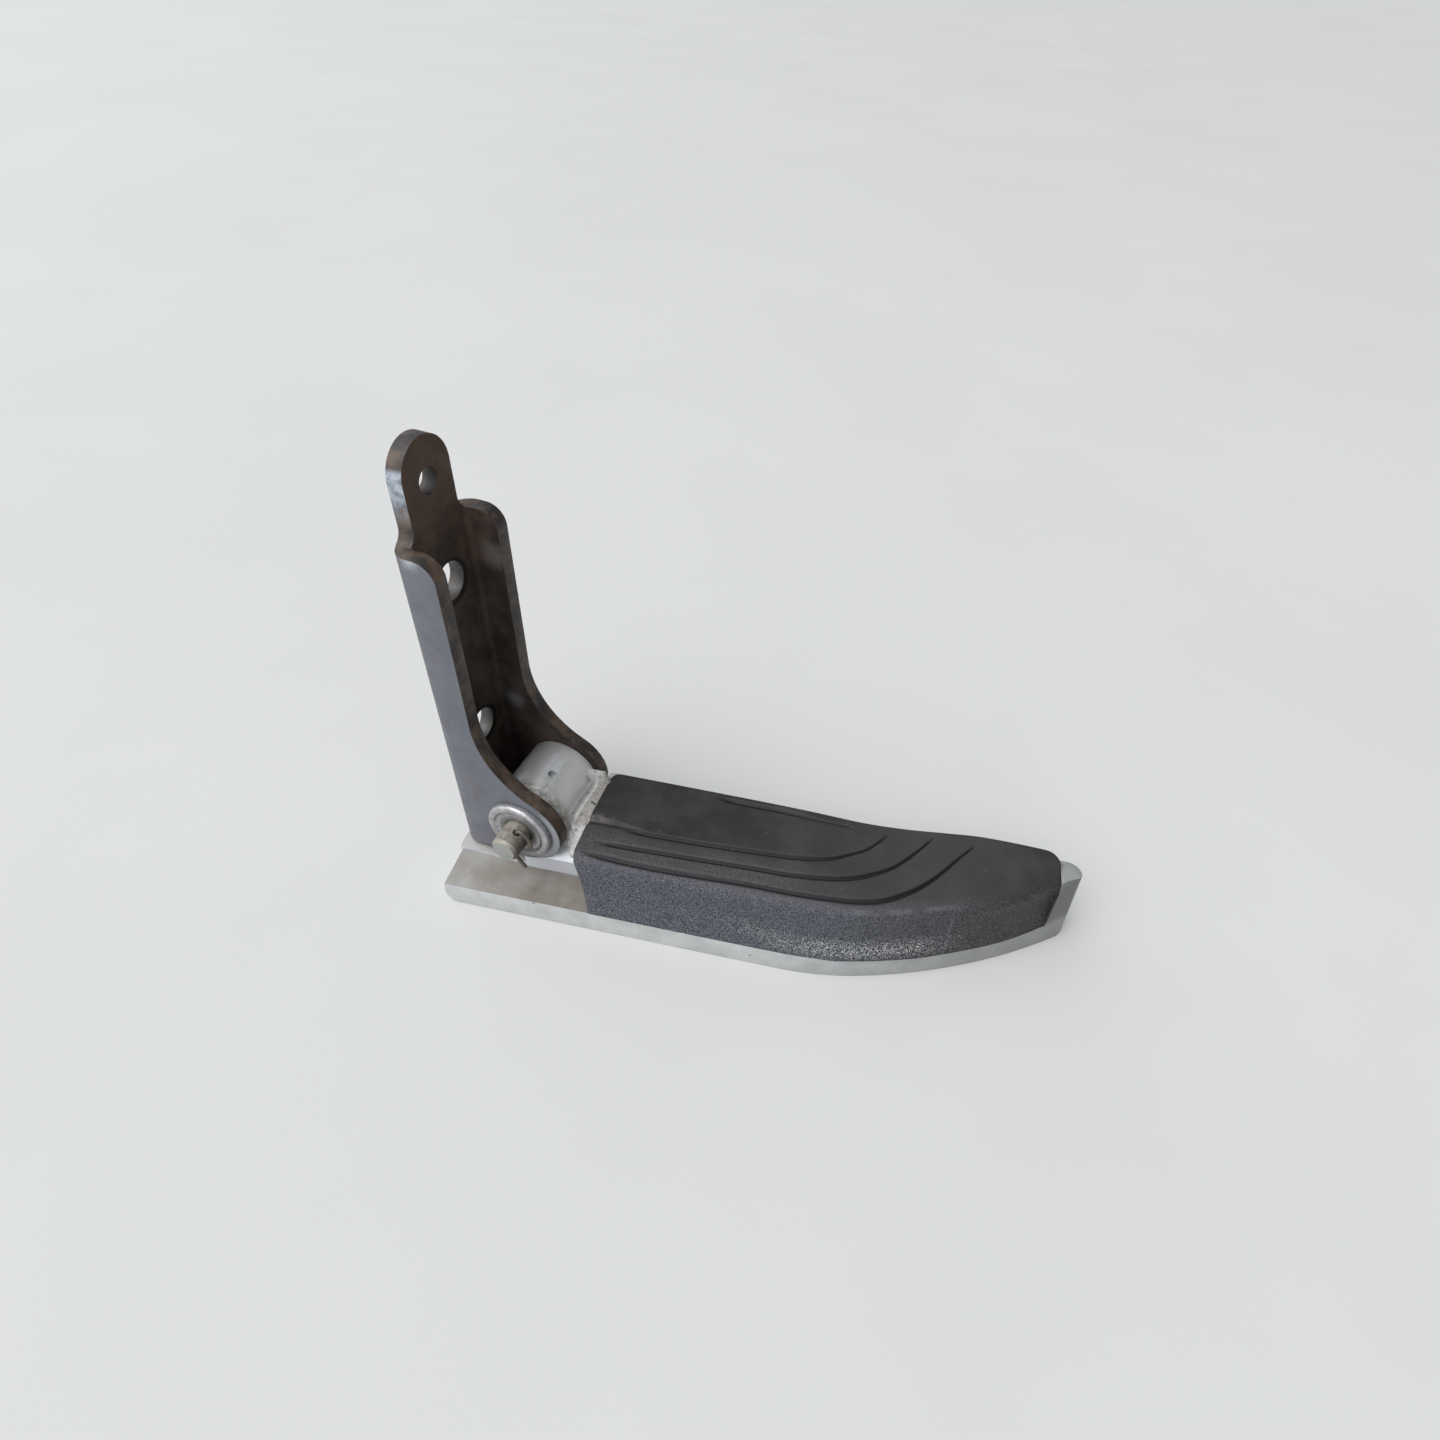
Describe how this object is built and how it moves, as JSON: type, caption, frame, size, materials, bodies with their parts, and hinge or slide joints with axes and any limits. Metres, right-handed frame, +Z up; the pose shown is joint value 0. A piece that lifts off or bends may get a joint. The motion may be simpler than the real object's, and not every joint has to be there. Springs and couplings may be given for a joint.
{
  "type": "motorcycle rear footrest",
  "caption": "Folding motorcycle rear footrest: a swept cast blade with a rubber pad, hinged on a clevis pin in an upright folded steel bracket that bolts to the frame.",
  "frame": {"origin": "middle of the two frame bolt holes, on the back face of the bracket's web", "axes": "+X away from the web towards the footrest, +Y along the pivot to its headed end, +Z up the web"},
  "size_m": [0.1715, 0.0683, 0.1294],
  "materials": {
    "bracket_paint": "satin, worn",
    "cast_silver": "silver paint, dusty",
    "pad_rubber": "matte, grained flank",
    "zinc_steel": "dull zinc plate",
    "wire_steel": "tarnished",
    "bright_steel": "bright"
  },
  "bodies": {
    "bracket": {"mounting_bracket": "bracket_paint", "pivot_pin": "zinc_steel", "pin_washer": "zinc_steel", "split_pin": "wire_steel"},
    "footrest": {"footrest_casting": "cast_silver", "rubber_pad": "pad_rubber", "detent_ball": "bright_steel", "detent_spring": "bright_steel"}
  },
  "joints": [
    {"name": "fold_hinge", "type": "hinge", "parent": "bracket", "child": "footrest", "pos_m": [0.0223, 0, -0.044], "axis": [0, -1, 0], "range_deg": [0, 80]}
  ]
}
